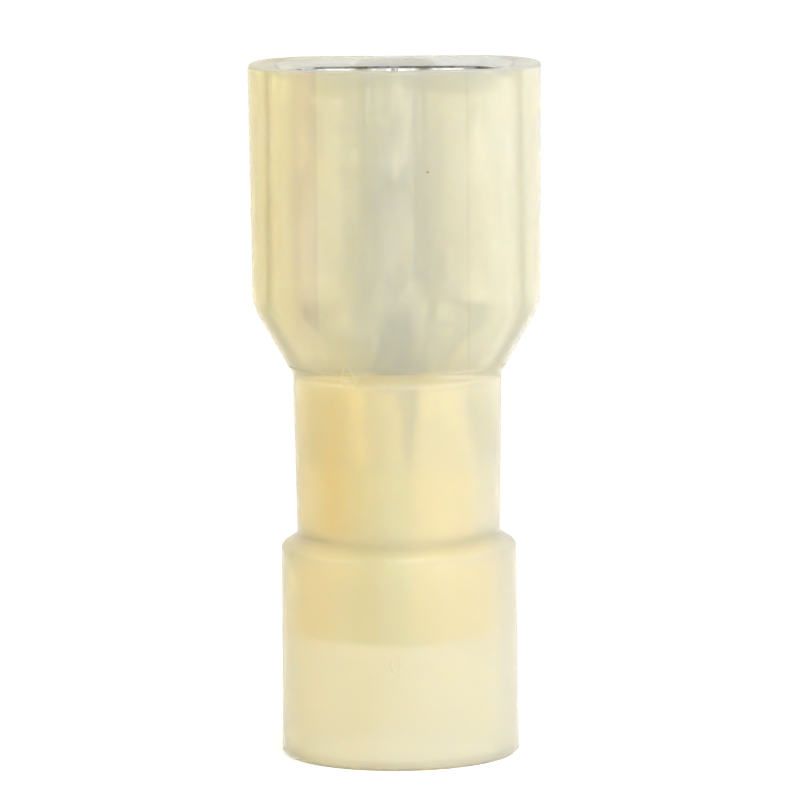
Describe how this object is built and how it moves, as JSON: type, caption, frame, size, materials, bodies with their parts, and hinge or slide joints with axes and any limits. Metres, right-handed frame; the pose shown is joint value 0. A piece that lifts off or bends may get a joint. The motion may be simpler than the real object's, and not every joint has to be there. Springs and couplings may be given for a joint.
{
  "type": "female spade terminal",
  "caption": "Insulated female spade terminal: nylon housing with a flat tab mouth, rolled receptacle, wire barrel and brass crimp sleeve.",
  "frame": {"origin": "centre of the round wire entry, on the plane of its rim, which the part stands on", "axes": "+Z from the wire entry to the tab mouth, +X along the width of the tab, -Y the side of the rolled curls and the barrel seam"},
  "size_m": [0.0102, 0.0083, 0.0242],
  "materials": {
    "nylon": "translucent pale yellow moulded nylon",
    "tinned_brass": "bright tin plate",
    "brass": "bare drawn brass"
  },
  "bodies": {
    "root": {"insulating_housing": "nylon", "receptacle_terminal": "tinned_brass", "crimp_sleeve": "brass"}
  },
  "joints": []
}
